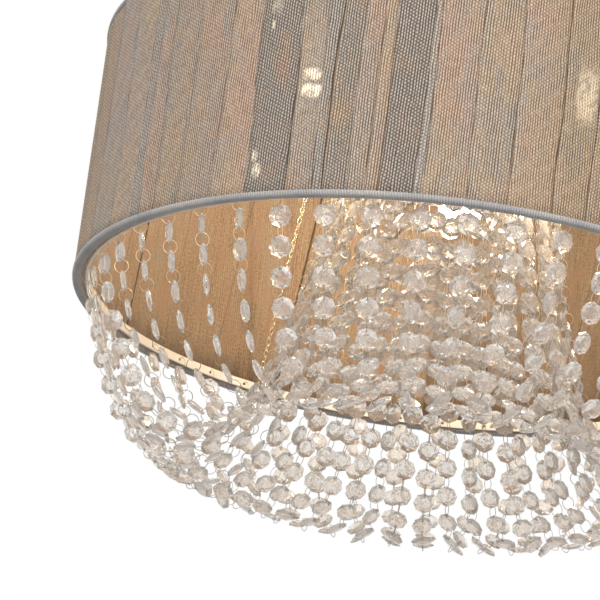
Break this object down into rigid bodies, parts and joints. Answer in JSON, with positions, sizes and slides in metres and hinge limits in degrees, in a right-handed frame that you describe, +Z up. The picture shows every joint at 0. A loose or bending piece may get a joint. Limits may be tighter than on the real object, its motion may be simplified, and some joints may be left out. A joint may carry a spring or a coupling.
{
  "type": "drum chandelier",
  "caption": "Thread-covered drum shade on a tilting stem, with loops of linked crystal beads hung from its lower rim to an inner ring, and lamps inside.",
  "frame": {"origin": "middle of the ceiling bar's upper face, where it meets the ceiling", "axes": "+Z up; the shade hangs below on the Z axis; -Y faces the viewer of the picture"},
  "size_m": [0.5, 0.5, 0.4635],
  "materials": {
    "outer_thread": "matte",
    "binding_thread": "matte",
    "lining_thread": "matte",
    "gold_metal": "polished",
    "steel": "satin",
    "crystal": "polished",
    "lamp_glass": "gloss",
    "white_plastic": "satin"
  },
  "bodies": {
    "ceiling": {"ceiling_bar": "steel", "canopy_stud_front": "steel", "canopy_stud_back": "steel", "terminal_block": "white_plastic", "hanger_nipple": "steel", "canopy": "gold_metal", "cap_nut_front": "gold_metal", "cap_nut_back": "gold_metal", "canopy_collar": "gold_metal", "nipple_nut": "steel"},
    "swivel": {"swivel_fork": "gold_metal", "pivot_screw": "gold_metal", "pivot_nut": "gold_metal"},
    "chandelier": {"swivel_tongue": "gold_metal", "stem": "gold_metal", "stem_nut": "steel", "hub_cup": "gold_metal", "hub_floor": "gold_metal", "spider_arm_1": "gold_metal", "stay_chain_1": "gold_metal", "ring_bracket_1": "gold_metal", "lamp_arm_1": "gold_metal", "lampholder_1": "white_plastic", "lamp_1": "lamp_glass", "spider_arm_2": "gold_metal", "stay_chain_2": "gold_metal", "ring_bracket_2": "gold_metal", "lamp_arm_2": "gold_metal", "lampholder_2": "white_plastic", "lamp_2": "lamp_glass", "spider_arm_3": "gold_metal", "stay_chain_3": "gold_metal", "ring_bracket_3": "gold_metal", "lamp_arm_3": "gold_metal", "lampholder_3": "white_plastic", "lamp_3": "lamp_glass", "top_ring": "steel", "bottom_ring": "steel", "shade_strut_1": "steel", "shade_strut_2": "steel", "shade_strut_3": "steel", "shade_strut_4": "steel", "shade_strut_5": "steel", "shade_strut_6": "steel", "thread_panels": "outer_thread", "lining_threads": "lining_thread", "top_binding": "binding_thread", "bottom_binding": "binding_thread", "crystal_band": "crystal", "crystal_ring": "crystal"}
  },
  "joints": [
    {"name": "swivel_turn", "type": "hinge", "parent": "ceiling", "child": "swivel", "pos_m": [0, 0, -0.0656], "axis": [0, 0, 1], "range_deg": [-170, 170]},
    {"name": "swivel_tilt", "type": "hinge", "parent": "swivel", "child": "chandelier", "pos_m": [0, 0, -0.0656], "axis": [1, 0, 0], "range_deg": [-25, 25]}
  ]
}
